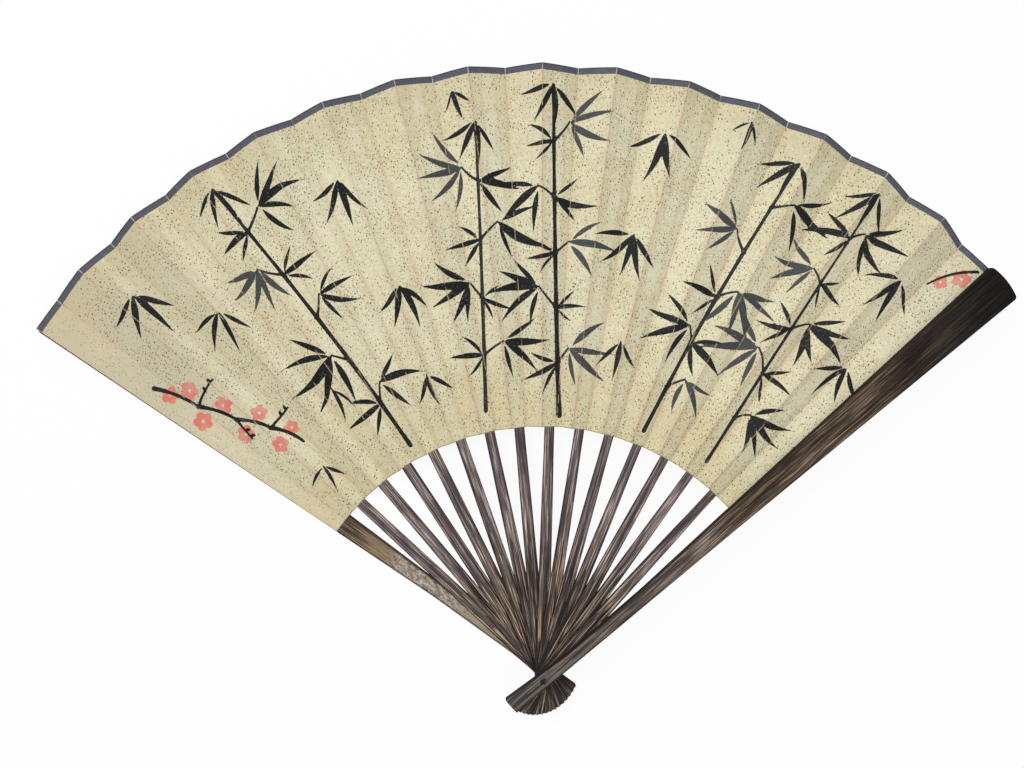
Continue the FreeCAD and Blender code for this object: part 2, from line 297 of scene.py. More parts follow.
both = put(tree, "ShaderNodeMixShader", {0: seen, 1: matte.outputs[0], 2: glow.outputs[0]})
fill(tree.nodes["Material Output"], {"Surface": both.outputs[0]})
table_mesh.materials.append(white)
print("table at", table_points[0, 2], "m")

# %% [markdown]
# ## One way to make every thin piece
#
# A guard, a rib and a leaf panel are all thin slabs: a front surface, a back surface, and a
# narrow wall between their rims. So one helper turns two grids of points into a closed mesh.
# Rows of a grid run across the piece from its left to its right, and columns run outwards
# along the stick. Values that a finish needs later, such as the distance to a crease, are
# stored on the points.

# %% slab helper
def ring_quads(across, along):
    """Indices of the quads of a slab whose two grids have across x along points each: front,
    back, two long walls and two end walls, all facing outwards."""
    front = np.arange(across * along).reshape(across, along)
    back = front + across * along
    faces = [np.stack([front[:-1, :-1], front[1:, :-1], front[1:, 1:], front[:-1, 1:]], -1),
             np.stack([back[:-1, :-1], back[:-1, 1:], back[1:, 1:], back[1:, :-1]], -1)]
    walls = [(front[0, :-1], front[0, 1:], back[0, 1:], back[0, :-1]),
             (front[-1, 1:], front[-1, :-1], back[-1, :-1], back[-1, 1:]),
             (front[1:, 0], front[:-1, 0], back[:-1, 0], back[1:, 0]),
             (front[:-1, -1], front[1:, -1], back[1:, -1], back[:-1, -1])]
    faces += [np.stack(wall, -1) for wall in walls]
    return np.concatenate([quads.reshape(-1, 4) for quads in faces])


def slab(name, grids, values, charts, smooth=35.0):
    """A closed thin piece from a front and a back grid of points in mm. values holds (name,
    front, back) arrays to store on the points, and charts a flat map of each side, in
    metres. Edges turned by less than smooth degrees are shaded smooth."""
    across, along = grids[0].shape[:2]
    points = np.concatenate([grid.reshape(-1, 3) for grid in grids]) * MM
    faces = ring_quads(across, along)
    mesh = bpy.data.meshes.new(name)
    mesh.vertices.add(len(points))
    mesh.vertices.foreach_set("co", points.astype(np.float32).ravel())
    mesh.loops.add(faces.size)
    mesh.loops.foreach_set("vertex_index", faces.astype(np.int32).ravel())
    mesh.polygons.add(len(faces))
    mesh.polygons.foreach_set("loop_start", np.arange(0, faces.size, 4, dtype=np.int32))
    mesh.update(calc_edges=True)
    mesh.validate()
    for label, *sides in values:
        store = mesh.attributes.new(label, "FLOAT", "POINT")
        both_sides = np.concatenate([np.broadcast_to(side, (across, along)).ravel()
                                     for side in sides])
        store.data.foreach_set("value", both_sides.astype(np.float32))
    flat = np.concatenate([chart.reshape(-1, 2) for chart in charts])
    layer = mesh.uv_layers.new(name="chart")
    layer.data.foreach_set("uv", flat[faces.ravel()].astype(np.float32).ravel())
    mesh.polygons.foreach_set("use_smooth", np.ones(len(faces), dtype=bool))
    mesh.set_sharp_from_angle(angle=np.radians(smooth))
    return placed(name, mesh)


def ease(t):
    """Smooth step: 0 below 0, 1 above 1, and between them t*t*(3 - 2*t)."""
    t = np.clip(t, 0, 1)
    return t * t * (3 - 2 * t)


print("a slab of 3 x 4 points has", len(ring_quads(3, 4)), "faces")

# %% [markdown]
# ## How a stick is cut
#
# Every stick starts as the same strip of bamboo, cut to a gentle outline: a square tail
# below the rivet, a narrow head, and then a long straight side. The outline is a bent line
# whose bends are eased, so it can be written as one sum instead of a list of arcs. Each
# corner of the line is a distance from the rivet and a distance from the stick's axis.

# %% outline of a stick
HEAD, HEAD_STEP, WELL_RIM = 3.0, 0.25, (1.55, 1.65)
SHOULDER = np.linspace(-18.2, -3.6, 12)
BODY_FROM, BODY_STEP, BODY_STOP = 4.0, 1.5, 1.9
RIB_NECK = [(60.0, 2.95), (RIB_END, 2.7)]
RIB_EDGES = [[(-TAIL, 5.1), (0.0, 3.45), *RIB_NECK], [(-TAIL, 3.6), (0.0, 3.8), *RIB_NECK]]
GUARD_EDGES = [[(-TAIL, 5.1), (15.0, 2.15), (66.0, 2.15), (GUARD_LENGTH, 10.25)],
               [(-TAIL, 3.6), (0.0, 3.8), (124.0, 5.95), (GUARD_LENGTH, 10.05)]]


def bent_line(x, corners, easing):
    """Height of a bent line at x: the first slope carried on, plus at every corner the change
    of slope times the distance past it, where that distance starts as a parabola."""
    spots, heights = np.array(corners, float).T
    slopes = np.diff(heights) / np.diff(spots)
    line = heights[0] + slopes[0] * (x - spots[0])
    past = x[..., None] - spots[1:-1]
    eased = np.where(past < -easing, 0,
                     np.where(past > easing, past, (past + easing) ** 2 / (4 * easing)))
    return line + (eased * np.diff(slopes)).sum(-1)


def rounded_end(x, end, radius):
    """How far a corner of that radius cuts into the width at x, when the stick ends at end."""
    depth = np.clip(radius - np.abs(end - x), 0, radius)
    return radius - np.sqrt(radius ** 2 - depth ** 2)


def outline(x, edges, easings, end, end_round):
    """Left and right edges of a stick at x, in mm from its axis, with rounded corners."""
    cut = rounded_end(x, -TAIL, TAIL_ROUND) + rounded_end(x, end, end_round)
    left, right = (bent_line(x, *edge) for edge in zip(edges, easings))
    return left - cut, cut - right


def stations(length):
    """Places along a stick: close together at its ends and around the rivet, else 1.5 mm."""
    tail = -TAIL + TAIL_ROUND * (1 - np.cos(np.linspace(0, np.pi / 2, 6)))
    head = np.arange(-HEAD, HEAD + 0.01, HEAD_STEP)
    body = np.arange(BODY_FROM, length - BODY_STOP, BODY_STEP)
    tip = length - TIP_ROUND * (1 - np.cos(np.linspace(0, np.pi / 2, 7)))
    places = [tail, SHOULDER, -np.array(WELL_RIM), head, WELL_RIM, body, tip]
    return np.unique(np.round(np.concatenate(places), 4))


print("stations on a guard:", len(stations(GUARD_LENGTH)))

# %% [markdown]
# ## Dark bamboo
#
# The sticks are smoked bamboo. Bamboo has no rings. It has long bundles of fibre, so its
# grain is fine straight streaks that run the whole length of the stick, dark brown with some
# golden ones. Three stretched noises give the streaks. They read the stick's own chart, whose
# first number runs along the stick and whose second runs across it, so that the grain turns
# with each stick of the fan. The grain is a node group, because the ribs and both guards use
# it with their own values.

# %% bamboo grain group
grain = bpy.data.node_groups.new("bamboo_grain", "ShaderNodeTree")
for label, kind, value in (("Chart", "NodeSocketVector", None),
                           ("Streaks per metre", "NodeSocketFloat", 2200.0),
                           ("Gold", "NodeSocketFloat", 0.5),
                           ("Dark", "NodeSocketColor", (0.022, 0.015, 0.011, 1)),
                           ("Middle", "NodeSocketColor", (0.075, 0.050, 0.036, 1)),
                           ("Light", "NodeSocketColor", (0.27, 0.185, 0.105, 1))):
    socket = grain.interface.new_socket(name=label, in_out="INPUT", socket_type=kind)
    if value is not None:
        socket.default_value = value
for label, kind in (("Colour", "NodeSocketColor"), ("Height", "NodeSocketFloat")):
    grain.interface.new_socket(name=label, in_out="OUTPUT", socket_type=kind)
given = put(grain, "NodeGroupInput").outputs
split = put(grain, "ShaderNodeSeparateXYZ", {0: given["Chart"]})
drift = times(noise(given["Chart"], 18.0, 1.0), 0.0022)
across_chart = plus(split.outputs["Y"], drift)


def streaks(along_scale, across_share, detail):
    """Noise stretched along the stick: its width is one streak over across_share."""
    x = times(split.outputs["X"], along_scale)
    y = times(across_chart, times(given["Streaks per metre"], across_share))
    place = put(grain, "ShaderNodeCombineXYZ", {"X": x, "Y": y})
    return noise(place.outputs[0], 1.0, detail, 0.6)


broad, fine, hair = streaks(16.0, 0.24, 2.0), streaks(34.0, 0.9, 2.0), streaks(60.0, 1.3, 1.0)
base_colour = colour_mix(ramp(broad, 0.38, 0.62), given["Dark"], given["Middle"])
threshold = minus(0.72, times(given["Gold"], 0.30))
gold_mask = times(ramp(minus(fine, threshold), 0.0, 0.07), ramp(broad, 0.38, 0.54, 0.20, 1.0))
hair_mask = ramp(hair, 0.48, 0.58, 0.0, 0.85)
put(grain, "NodeGroupOutput", {
    "Colour": layers(base_colour, (gold_mask, given["Light"]), (hair_mask, given["Dark"])),
    "Height": plus(times(fine, 0.6), times(hair, 0.4))})
print("bamboo grain has", len(grain.nodes), "nodes")


# %% bamboo finishes
def bamboo(name, gold, streaks_per_metre, tones, further_out=()):
    """Smoked bamboo: grain, rims darkened nearly to black, and clouds of smoke. tones holds the
    dark, the middle and the light colour of the grain at the tail. Each row of further_out
    holds a low and a high distance in mm, between which the grain goes over to three more
    tones.
    The grain's height also makes a shallow bump and changes the gloss a little."""
    finish, tree, shader = new_finish(name)
    chart = chart_of_piece(tree)
    group = put(tree, "ShaderNodeGroup", node_tree=grain)
    out_at = stored(tree, "out")
    fill(group, {"Chart": chart, "Streaks per metre": streaks_per_metre, "Gold": gold})
    for place, label in enumerate(("Dark", "Middle", "Light")):
        tone = layers(tones[place], *((ramp(out_at, low, high), other[place])
                                      for low, high, other in further_out))
        fill(group, {label: rgba(tone)})
    relief = group.outputs["Height"]
    ragged = plus(stored(tree, "rim"), times(noise(chart, 260.0, 3.0), 0.5))
    colour = layers(group.outputs["Colour"],
                    (ramp(ragged, 0.38, 0.90, 0.92, 0.0), (0.012, 0.009, 0.010)),
                    (ramp(noise(chart, 22.0, 3.0), 0.42, 0.72, 0.0, 0.40), tones[0]))
    fill(shader, {"Base Color": colour, "Roughness": ramp(relief, 0.3, 0.7, 0.62, 0.46),
                  "Normal": bump(relief, 0.35, 0.0003), "Specular IOR Level": 0.10})
    return finish, shader, colour, chart


# On the ribs, the lighter and greyer tones from 40 to 92 mm out are a painted sheen, which the
# upper ribs catch.
rib_bamboo = bamboo(
    "smoked_bamboo_ribs", 0.66, 2000.0,
    ((0.024, 0.019, 0.018), (0.175, 0.140, 0.120), (0.66, 0.50, 0.35)),
    [(-10.0, -1.0, ((0.014, 0.011, 0.012), (0.125, 0.097, 0.089), (0.60, 0.43, 0.27))),
     (40.0, 92.0, ((0.056, 0.043, 0.044), (0.240, 0.186, 0.178), (0.66, 0.53, 0.45)))])[0]
# On the front guard, the lighter tones from 30 to 62 mm out, which go dark again from 98 to 128
# mm, are a painted highlight along its domed face.
guard_bamboo = bamboo(
    "smoked_bamboo_front_guard", 0.60, 2700.0,
    ((0.034, 0.028, 0.025), (0.180, 0.148, 0.126), (0.40, 0.32, 0.24)),
    [(30.0, 62.0, ((0.036, 0.027, 0.024), (0.210, 0.158, 0.136), (0.50, 0.40, 0.31))),
     (98.0, 128.0, ((0.020, 0.013, 0.009), (0.130, 0.084, 0.058), (0.42, 0.285, 0.175))),
     (185.0, 245.0, ((0.006, 0.004, 0.003), (0.025, 0.016, 0.010), (0.145, 0.094, 0.052))),
     (245.0, 288.0, ((0.003, 0.002, 0.0014), (0.007, 0.005, 0.003), (0.032, 0.022, 0.013)))
     ])[0]
print("finishes", rib_bamboo.name, guard_bamboo.name)

# %% [markdown]
# ## Ribs
#
# A rib is a flat slat, under a millimetre thick. Its tail and head lie flat in the stack on
# the rivet, but further out it has to lean with the pleat that it carries, so the bamboo is
# twisted on its way out. It also gets thinner before it slips between the two papers of the
# leaf.

# %% ribs
TWIST_FROM, TWIST_TO = 40.0, LEAF_INNER
THIN_FROM, THIN_RUN, THINNED = 90.0, 32.0, 0.60
RIM_REACH, ROUND_STEPS = 3.0, 3
CHART_SHIFT = 0.731
RIB_EASINGS, RIB_CROWN, RIB_RIM, RIB_FACE_POINTS = (2.0, 2.0), 0.04, 0.16, 9


def slat(x, left, right, thick, crown, radius, face_points):
    """Grids of a slat: along, across, height of its front, and distance to its nearer rim.
    Across it, the front falls from its middle by crown times the square of the distance to
    the middle, and its rims are quarter rounds."""
    half, middle = (left - right) / 2, (left + right) / 2
    turn = np.linspace(0, np.pi / 2, ROUND_STEPS + 1)[:-1]
    share = np.linspace(1, -1, face_points)
    ratio = np.concatenate([np.ones(ROUND_STEPS), share, -np.ones(ROUND_STEPS)])
    inset = np.concatenate([radius * (1 - np.cos(turn)), np.full(face_points, radius),
                            radius * (1 - np.cos(turn[::-1]))])
    drop = np.concatenate([radius * (1 - np.sin(turn)), np.zeros(face_points),
                           radius * (1 - np.sin(turn[::-1]))])
    across = middle + ratio[:, None] * (half - inset[:, None])
    bulge = crown * (1 - ratio[:, None] ** 2)
    front = thick / 2 - crown - drop[:, None] + bulge + 0 * across
    rim = np.minimum(np.abs(half - np.abs(across - middle)), RIM_REACH)
    return np.broadcast_to(x, across.shape), across, front, rim


def make_rib(number):
    """One rib, cut flat, twisted and turned to its place in the stack."""
    name = f"rib_{number:02d}"
    x = stations(RIB_END)
    left, right = outline(x, RIB_EDGES, RIB_EASINGS, RIB_END, RIB_ROUND)
    thick = RIB_THICKNESS - THINNED * ease((x - THIN_FROM) / THIN_RUN)
    along, across, front, rim = slat(x, left, right, thick, RIB_CROWN, RIB_RIM,
                                     RIB_FACE_POINTS)
    twist = np.radians(PLEAT_TILT) * ease((x - TWIST_FROM) / (TWIST_TO - TWIST_FROM))
    low = np.array((0, 0, height(number)))
    grids = [np.stack([along, across * np.cos(twist) - level * np.sin(twist),
                       across * np.sin(twist) + level * np.cos(twist)], -1)
             @ turn_z(azimuth(number)).T + low for level in (front, -front)]
    charts = [np.stack([along * MM + number * CHART_SHIFT, across * MM + side], -1)
              for side in (0.0, 0.05)]
    piece = slab(name + "_stick", grids, [("rim", rim, rim), ("out", along, along)], charts)
    piece.data.materials.append(rib_bamboo)
    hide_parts(name)
    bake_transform(piece)
    return piece


ribs = [make_rib(number) for number in range(1, RIBS + 1)]
print(len(ribs), "ribs of", len(ribs[0].data.polygons), "faces")

# %% [markdown]
# ## Guards
#
# The two guards protect the closed leaf. They are cut from thick bamboo, are narrow at the
# waist and grow wide towards the tip, and their outer face is slightly domed and rounded
# over at its rim, where a hand holds it. Their inner face is set back where the end of the
# leaf is pasted on. The rear guard also has a small well in its outer face for the head of
# the rivet. Its ring is made by drawing the grid of points around the rivet into circles.

# %% guards' shape
GUARD_EASINGS, GUARD_CROWN, GUARD_RIM, GUARD_FACE_POINTS = (3.9, 2.5), 0.22, 0.7, 25
SEAT, SEAT_FROM = 0.40, LEAF_INNER - 0.2
TIP_BOW, TIP_BOW_FROM, TIP_BOW_RUN = 0.9, 284.0, 14.0
WELL_DEPTH, WELL_EDGE, RING = 0.6, 1.66, 1.7


def round_the_rivet(along, across):
    """Square rings of grid points around the rivet become circles: a point is moved to the
    circle of the same size up to RING, and by less and less from there to HEAD."""
    square = np.maximum(np.abs(along), np.abs(across))
    circle = np.hypot(along, across)
    share = 1 - ease((square - RING) / (HEAD - RING))
    factor = 1 + share * (square / np.maximum(circle, 1e-9) - 1)
    return along * factor, across * factor, square


def make_guard(name, body, stick, base, outer_up, finish, length):
    """One guard. base is the height of its lower face. outer_up is True where the domed face
    looks up, as on the front guard."""
    x = stations(length)
    left, right = outline(x, GUARD_EDGES, GUARD_EASINGS, length, TIP_ROUND)
    thick = GUARD_THICKNESS + 0 * x
    along, across, front, rim = slat(x, left, right, thick, GUARD_CROWN, GUARD_RIM,
                                     GUARD_FACE_POINTS)
    outer = front + GUARD_THICKNESS / 2
    inner = SEAT * (x > SEAT_FROM) + 0 * across
    off_middle = (across - (left + right) / 2) / ((left - right) / 2)
    along = along - TIP_BOW * ease((x - TIP_BOW_FROM) / TIP_BOW_RUN) * off_middle ** 2
    if outer_up:
        grids = [np.stack([along, across, outer], -1), np.stack([along, across, inner], -1)]
    else:
        # the well of the rivet's head is cut into the outer face
        moved_x, moved_y, square = round_the_rivet(along, across)
        outer = outer - WELL_DEPTH * (square < WELL_EDGE)
        grids = [np.stack([along, across, GUARD_THICKNESS - inner], -1),
                 np.stack([moved_x, moved_y, GUARD_THICKNESS - outer], -1)]
    grids = [grid @ turn_z(azimuth(stick)).T + (0, 0, base) for grid in grids]
    charts = [np.stack([along * MM + side, across * MM], -1) for side in (0.0, 2.0)]
    inside = (0.0, 1.0) if outer_up else (1.0, 0.0)
    piece = slab(f"{name}_shaped", grids, [("rim", rim, rim), ("out", along, along),
                                           ("inside", *inside)], charts, 40.0)
    piece.data.materials.append(finish)
    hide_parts(name)
    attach(piece, body)
    return piece


# %% [markdown]
# ## The rear guard's worn inner face
#
# Beside the leaf, the inner face of the rear guard lies open. From the tail outwards it is
# bare dark bamboo, rubbed olive, crusted with old glue and stained golden, in patches whose
# borders wander with a noise. Only a thin rim of it is dark.

# %% rear guard's finish, both guards
rear_finish, shader, colour, chart = bamboo(
    "smoked_bamboo_rear_guard", 0.62, 2200.0,
    ((0.035, 0.026, 0.021), (0.13, 0.092, 0.062), (0.46, 0.33, 0.20)))
tree = rear_finish.node_tree
out_at = stored(tree, "out")
smear = noise(stretched(chart, (70.0, 1300.0, 1.0)), 1.0, 4.0, 0.65)
crust = noise(stretched(chart, (300.0, 620.0, 1.0)), 1.0, 5.0, 0.7)
cloud, speck = noise(chart, 85.0, 4.0), noise(chart, 900.0, 2.0)
from_foot = plus(out_at, times(minus(cloud, 0.5), 26.0))
olive = colour_mix(ramp(smear, 0.35, 0.65), (0.235, 0.190, 0.120), (0.36, 0.30, 0.20))
golden = colour_mix(ramp(smear, 0.40, 0.66), (0.20, 0.135, 0.080), (0.42, 0.315, 0.20))
glue = layers((0.20, 0.155, 0.118), (ramp(crust, 0.40, 0.62), (0.50, 0.465, 0.395)),
              (ramp(speck, 0.55, 0.63, 0.0, 0.78), (0.085, 0.05, 0.04)),
              (ramp(cloud, 0.52, 0.68, 0.0, 0.6), (0.28, 0.19, 0.13)))
not_tail = ramp(out_at, 2.0, 9.0)
worn = layers(colour, (times(ramp(from_foot, 100.0, 119.0, 0.62, 0.0), not_tail), golden),
              (ramp(from_foot, 86.0, 100.0, 0.88, 0.0), glue),
              (times(ramp(from_foot, 40.0, 58.0, 0.92, 0.0), not_tail), olive))
worn = layers(colour, (not_tail, worn),
              (ramp(stored(tree, "rim"), 0.35, 1.25, 0.85, 0.0), (0.035, 0.024, 0.020)))
fill(shader, {"Base Color": colour_mix(stored(tree, "inside"), colour, worn)})

guards = [make_guard("rear_guard", "base", 0, 0.0, False, rear_finish, REAR_LENGTH),
          make_guard("front_guard", "front_stick", RIBS + 1, FRONT_GUARD, True,
                     guard_bamboo, GUARD_LENGTH)]
print(len(guards), "guards of", len(guards[1].data.polygons), "faces")

# %% [markdown]
# ## Rivet
#
# The rivet is a dark pin with a small domed head on the front guard and a flat head sunk in
# the rear guard. A turned piece is a profile swept round its axis: here a radius and a
# height for each step of the profile, and one turn of 48 steps.

# %% rivet
profile = np.array([(0.02, 0.08), (1.2, 0.08), (1.5, 0.14), (1.55, 0.28), (1.55, 0.55),
                    (1.1, 0.55), (1.1, 19.84), (1.6, 19.84), (1.62, 19.92), (1.55, 20.06),
                    (1.34, 20.22), (1.0, 20.33), (0.6, 20.385), (0.25, 20.4), (0.02, 20.4)])
turn = np.linspace(0, 2 * np.pi, 49)[:-1]
rings = np.stack([profile[:, :1] * np.cos(turn), profile[:, :1] * np.sin(turn),
                  profile[:, 1:] + 0 * turn], -1)
index = np.arange(rings[..., 0].size).reshape(rings.shape[:2])
after = np.roll(index, -1, axis=1)
skin = np.stack([index[:-1], after[:-1], after[1:], index[1:]], -1).reshape(-1, 4)
rivet_mesh = bpy.data.meshes.new("pivot_pin_turned")
rivet_mesh.from_pydata((rings.reshape(-1, 3) * MM).tolist(), [],
                       skin.tolist() + [index[0, ::-1].tolist(), index[-1].tolist()])
rivet_mesh.polygons.foreach_set("use_smooth", np.ones(len(rivet_mesh.polygons), dtype=bool))
rivet_mesh.set_sharp_from_angle(angle=np.radians(50))
rivet = placed("pivot_pin_turned", rivet_mesh)
rivet_finish, tree, shader = new_finish("blackened_rivet")
pits = noise(put(tree, "ShaderNodeTexCoord").outputs["Object"], 2600.0, 3.0)
fill(shader, {"Base Color": colour_mix(ramp(pits, 0.52, 0.75, 0.0, 0.6),
                                       (0.008, 0.008, 0.009), (0.045, 0.040, 0.036)),
              "Roughness": ramp(pits, 0.3, 0.7, 0.12, 0.24), "Specular IOR Level": 0.35,
              "Normal": bump(pits, 0.2, 0.0001)})
rivet_mesh.materials.append(rivet_finish)
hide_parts("pivot_pin")
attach(rivet, "base")
print("rivet head", 2 * profile[:, 0].max(), "mm across")

# %% [markdown]
# ## Where the creases run
#
# Every crease of the leaf is a straight line from the rivet's axis outwards. Ribs carry the
# wide panels that look up to the left edge of the fan's front, and the panels between them
# fold down again to the next rib. So the whole leaf is given by 32 lines: the two ends of
# the leaf, and the two sides of each rib's panel. A panel is what a straight line sweeps
# when it turns from one crease to the next. It carries the number of its left crease, so
# the even numbers between the two ends are the ribs' panels.

# %% crease lines
def crease_lines():
    """Starting points and directions of the 32 creases, left to right, and the body that
    each panel rides on."""
    low = np.array((0.0, 0.0, 1.0))
    start, way, rides = [], [], ["base"]
    for extra in (GUARD_COVER, -GUARD_PLEAT):
        start.append(low * REAR_END)
        way.append(turn_z(azimuth(0) + extra) @ (1, 0, 0))
    for number in range(1, RIBS + 1):
        lean = turn_z(azimuth(number)) @ turn_x(PLEAT_TILT)
        for side in (HALF_SECTOR, -HALF_SECTOR):
            start.append(low * height(number))
            way.append(lean @ turn_z(side) @ (1, 0, 0))
        rides += [f"crease_{number:02d}", f"pleat_{number:02d}"]
    for extra in (GUARD_PLEAT, -GUARD_COVER):
        start.append(low * FRONT_END)
        way.append(turn_z(azimuth(RIBS + 1) + extra) @ (1, 0, 0))
    rides += [f"crease_{RIBS + 1:02d}", "front_stick"]
    return np.array(start), np.array(way), rides


crease_start, crease_way, panel_rides = crease_lines()
panel_turn = np.degrees(np.arccos(np.clip((crease_way[:-1] * crease_way[1:]).sum(1), -1, 1)))
unrolled = np.concatenate([[0], np.cumsum(panel_turn)])
unrolled = 90 + unrolled[-1] / 2 - unrolled
PANELS = len(panel_turn)
print(PANELS, "panels, flat they would span", round(panel_turn.sum(), 1), "degrees")

# %% panel surfaces
ACROSS, ALONG = 29, 241
SLEEVE_HALF, SLEEVE_STEP, SLEEVE_LIFT = 2.9, 1.1, 0.12
SLEEVE_END, SLEEVE_FADE = 288.0, 3
BINDING, BINDING_LIFT, PASTED = 3.1, 0.01, 0.2
LEAST_COSINE = 0.3


def middle_surface(panel, radii, shares):
    """Points of a panel's middle: starting point plus radius times direction, where both go
    from the left crease's to the right one's, and the direction keeps unit length."""
    a, b = crease_way[panel], crease_way[panel + 1]
    angle = np.arccos(a @ b)
    share = shares[:, None]
    way = (np.sin((1 - share) * angle) * a + np.sin(share * angle) * b) / np.sin(angle)
    low = (1 - share) * crease_start[panel] + share * crease_start[panel + 1]
    return low[:, None] + radii[None, :, None] * way[:, None]


def unit(vectors):
    """The same directions, one long."""
    return vectors / np.linalg.norm(vectors, axis=-1, keepdims=True)


def facing(grid):
    """Unit normals of a grid of points, out of the painted side, from its two directions."""
    return unit(np.cross(np.gradient(grid, axis=0), np.gradient(grid, axis=1)))


def panel_grids(panel, radii, shares, lift):
    """Front and back surfaces: the middle moved along its normal by the lift. On a crease
    both neighbours move along the line that halves their angle, by the lift over the cosine
    of half of it, so that they meet without a gap."""
    middle = middle_surface(panel, radii, shares)
    normal = facing(middle)
    stretch = np.ones(normal.shape[:2])
    for column, other, its in ((0, panel - 1, -1), (-1, panel + 1, 0)):
        if 0 <= other < PANELS:
            own = normal[column]
            halved = unit(own + facing(middle_surface(other, radii, np.linspace(0, 1, 5)))[its])
            stretch[column] = 1 / np.maximum((own * halved).sum(-1), LEAST_COSINE)
            normal[column] = halved
    step = normal * (lift * stretch)[..., None]
    return [middle + step, middle - step]


def across_of(panel, radii, shares):
    """Distance from the middle line of a panel, and from the nearer crease, in mm."""
    turned = np.radians(panel_turn[panel])
    off_middle, to_left, to_right = (radii[None] * np.sin(turned * part[:, None])
                                     for part in (shares - 0.5, shares, 1 - shares))
    return off_middle, np.minimum(to_left, to_right)


def chart_of(panel, radii, shares):
    """Where each point lies on the leaf laid flat, in mm from the rivet."""
    angle = np.radians(unrolled[panel] + (unrolled[panel + 1] - unrolled[panel]) * shares)
    return radii[None, :, None] * np.stack([np.cos(angle), np.sin(angle)], -1)[:, None]


print("first crease reaches", (crease_start[0] + crease_way[0] * LEAF_OUTER).round(1))

# %% [markdown]
# ## Brushwork
#
# The painted side carries a common subject of ink painting: bamboo, with a spray of small
# red plum blossom. Each brush stroke is a curve with a width at each of its points. The leaf
# does not store a picture. Every point of the paper stores how far inside the nearest stroke
# it lies, in millimetres, below zero outside. A finish can turn such a distance into a crisp
# edge at any scale, and can roughen it as a dry brush does.
#
# Strokes are laid out on the leaf as it lies flat, before pleating, so that they run over the
# creases as painted strokes do.

# %% strokes
brush = np.random.RandomState(11)
STROKE_STEPS = 15
LEAF_BELLY = np.array([0.7, 1.0, 1.0, 0.9, 0.7, 0.45, 0.2])
CANE_PART, JOINT_GAP = 27, 0.9
stroke_line, stroke_half, stroke_tone = [], [], []


def stroke(start, bend, end, widths, tone=1.0):
    """A brush stroke from start to end, pulled towards bend (all in mm on the flat leaf).
    The line is (1-t)^2 start + 2 t(1-t) bend + t^2 end, and its half width goes through the
    given values at equal steps."""
    t = np.linspace(0, 1, STROKE_STEPS)[:, None]
    stroke_line.append((1 - t) ** 2 * start + 2 * t * (1 - t) * bend + t ** 2 * end)
    stroke_half.append(np.interp(t[:, 0], np.linspace(0, 1, len(widths)), widths))
    stroke_tone.append(tone)


def polar(degrees, radius):
    """The point at that bearing and distance from the rivet, on the flat leaf."""
    a = np.radians(degrees)
    return np.array([radius * np.cos(a), radius * np.sin(a)])


def leaf_stroke(root, direction, length, width, tone):
    """A bamboo leaf: thin stalk, full belly at a third, long tip that droops a little."""
    out = polar(direction, 1.0)
    side = np.array([-out[1], out[0]])
    sway = brush.uniform(-0.16, 0.16) * length
    stroke(root, root + out * length * 0.5 + side * sway, root + out * length,
           [0.3, *(width * LEAF_BELLY), 0.05], tone)


def leaf_group(root, direction, size, count, tone):
    """Leaves that spread from one point, the middle ones longest, as a brush lays them."""
    for share in np.linspace(-1, 1, count):
        turned = (direction + share * (15 + 11 * count) * brush.uniform(0.75, 1.0)
                  + brush.uniform(-4, 4))
        length = size * (1.0 - 0.30 * abs(share)) * brush.uniform(0.85, 1.12)
        start = root + polar(turned, 0.10 * size * abs(share))
        leaf_stroke(start, turned, length, length * brush.uniform(0.058, 0.080), tone)


def cane(foot_angle, foot, tip_angle, top, half, tone):
    """A bamboo cane: short straight strokes end to end, with a small gap and a dark lip at
    each joint. It gives back its joints."""
    start, end = polar(foot_angle, foot), polar(tip_angle, top)
    joints = np.linspace(0, 1, int(round((top - foot) / CANE_PART)) + 1)
    side = np.array([-(end - start)[1], (end - start)[0]]) / np.linalg.norm(end - start)
    curve = start + joints[:, None] * (end - start)
    curve = curve + side * (4 * brush.uniform(-3, 3) * joints * (1 - joints))[:, None]
    for number, (a, b) in enumerate(zip(curve[:-1], curve[1:])):
        gap = unit(b - a) * JOINT_GAP
        w = half * (1 - 0.45 * joints[number])
        stroke(a + gap, (a + b) / 2, b - gap, [1.12 * w, w, 0.92 * w, w, 1.12 * w], tone)
        if number:
            lip = side * w * 1.5
            stroke(a - lip, a + gap, a + lip, [0.3, 0.65, 0.3], 1.0)
    return curve


def twig(root, direction, length, tone):
    """A thin stroke that bends at random. It gives back its end."""
    end = root + polar(direction, length)
    stroke(root, root + polar(direction + brush.uniform(-14, 14), length * 0.5), end,
           [0.75, 0.6, 0.5], tone)
    return end


for foot_angle, foot, tip_angle, top, half, tone in (
        (120.0, 131, 124.5, 285, 1.25, 0.93), (101.0, 134, 95.5, 272, 1.1, 0.85),
        (84.0, 129, 87.0, 288, 1.4, 0.96), (64.0, 131, 59.5, 280, 1.2, 0.90),
        (47.5, 133, 50.5, 287, 1.1, 0.88)):
    joints = cane(foot_angle, foot, tip_angle, top, half, tone)
    heading = np.degrees(np.arctan2(*(joints[-1] - joints[0])[::-1]))
    for number, joint in enumerate(joints[1:-1]):
        side = 1 if number % 2 else -1
        end = twig(joint, heading + side * brush.uniform(38, 58), brush.uniform(8, 14), 0.9)
        down = heading + side * brush.uniform(100, 135)
        dark = 1.0 if brush.uniform() < 0.8 else 0.62
        leaf_group(end, down, brush.uniform(24, 31), int(brush.randint(3, 6)), dark)
        if brush.uniform() < 0.7:
            other_way = heading - side * brush.uniform(85, 120)
            leaf_group(joint, other_way, brush.uniform(17, 24), 3, 1.0)
    leaf_group(joints[-1], heading + 165, 25, 4, 1.0)

